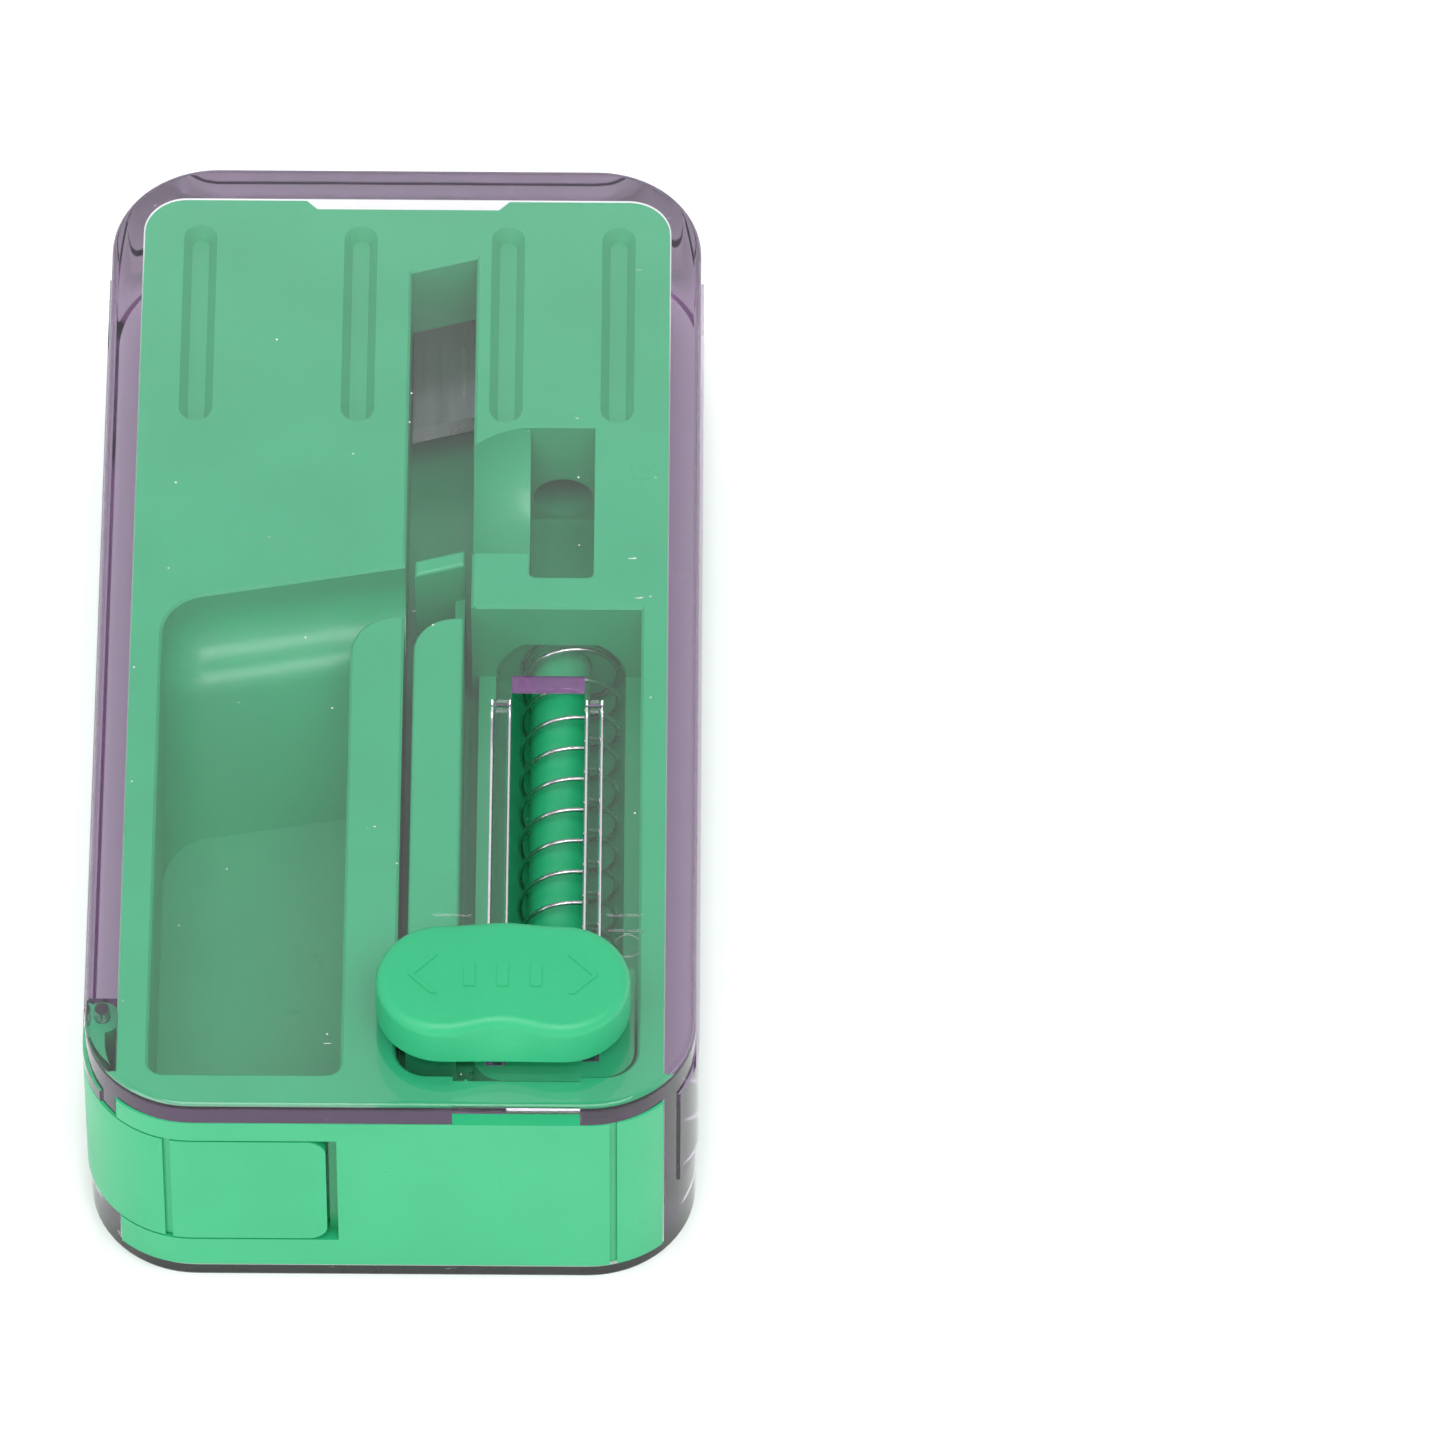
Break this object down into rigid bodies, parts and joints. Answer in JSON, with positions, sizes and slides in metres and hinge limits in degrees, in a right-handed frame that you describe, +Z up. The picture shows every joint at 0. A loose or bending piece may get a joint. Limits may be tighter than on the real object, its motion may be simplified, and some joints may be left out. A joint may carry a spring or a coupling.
{
  "type": "pill splitter",
  "caption": "Pocket pill splitter: clear case around a fixed core with a sprung thumb slider, a tablet channel with a fixed blade, a storage bin and a small hinged door.",
  "frame": {"origin": "centre of the case's footprint on the surface that it rests on", "axes": "+X to the right, +Y to the back, away from the door, +Z up"},
  "size_m": [0.05, 0.097, 0.0287],
  "materials": {
    "clear_case": "clear polished plastic with a faint lilac cast",
    "core_plastic": "satin mint green moulded plastic",
    "door_plastic": "satin mint green moulded plastic",
    "button_plastic": "satin mint green moulded plastic",
    "slider_plastic": "satin mint green moulded plastic",
    "blade_steel": "ground stainless steel",
    "pin_steel": "drawn steel",
    "spring_steel": "bright drawn spring wire"
  },
  "bodies": {
    "case": {"case_shell": "clear_case", "core_body": "core_plastic", "hinge_pin": "pin_steel", "cutting_blade": "blade_steel", "blade_pin": "pin_steel", "return_spring": "spring_steel"},
    "slider": {"thumb_button": "button_plastic", "slide_carriage": "slider_plastic", "plunger_rod": "slider_plastic", "pill_carrier": "slider_plastic"},
    "door": {"storage_door": "door_plastic"}
  },
  "joints": [
    {"name": "thumb_slide", "type": "slide", "parent": "case", "child": "slider", "axis": [0, 1, 0], "range_m": [0, 0.03], "stiffness_N_per_m": 120, "springref_m": -0.012, "deforming": ["return_spring"]},
    {"name": "door_hinge", "type": "hinge", "parent": "case", "child": "door", "pos_m": [-0.02345, -0.0376, 0.01215], "axis": [0, 0, -1], "range_deg": [0, 90]}
  ]
}
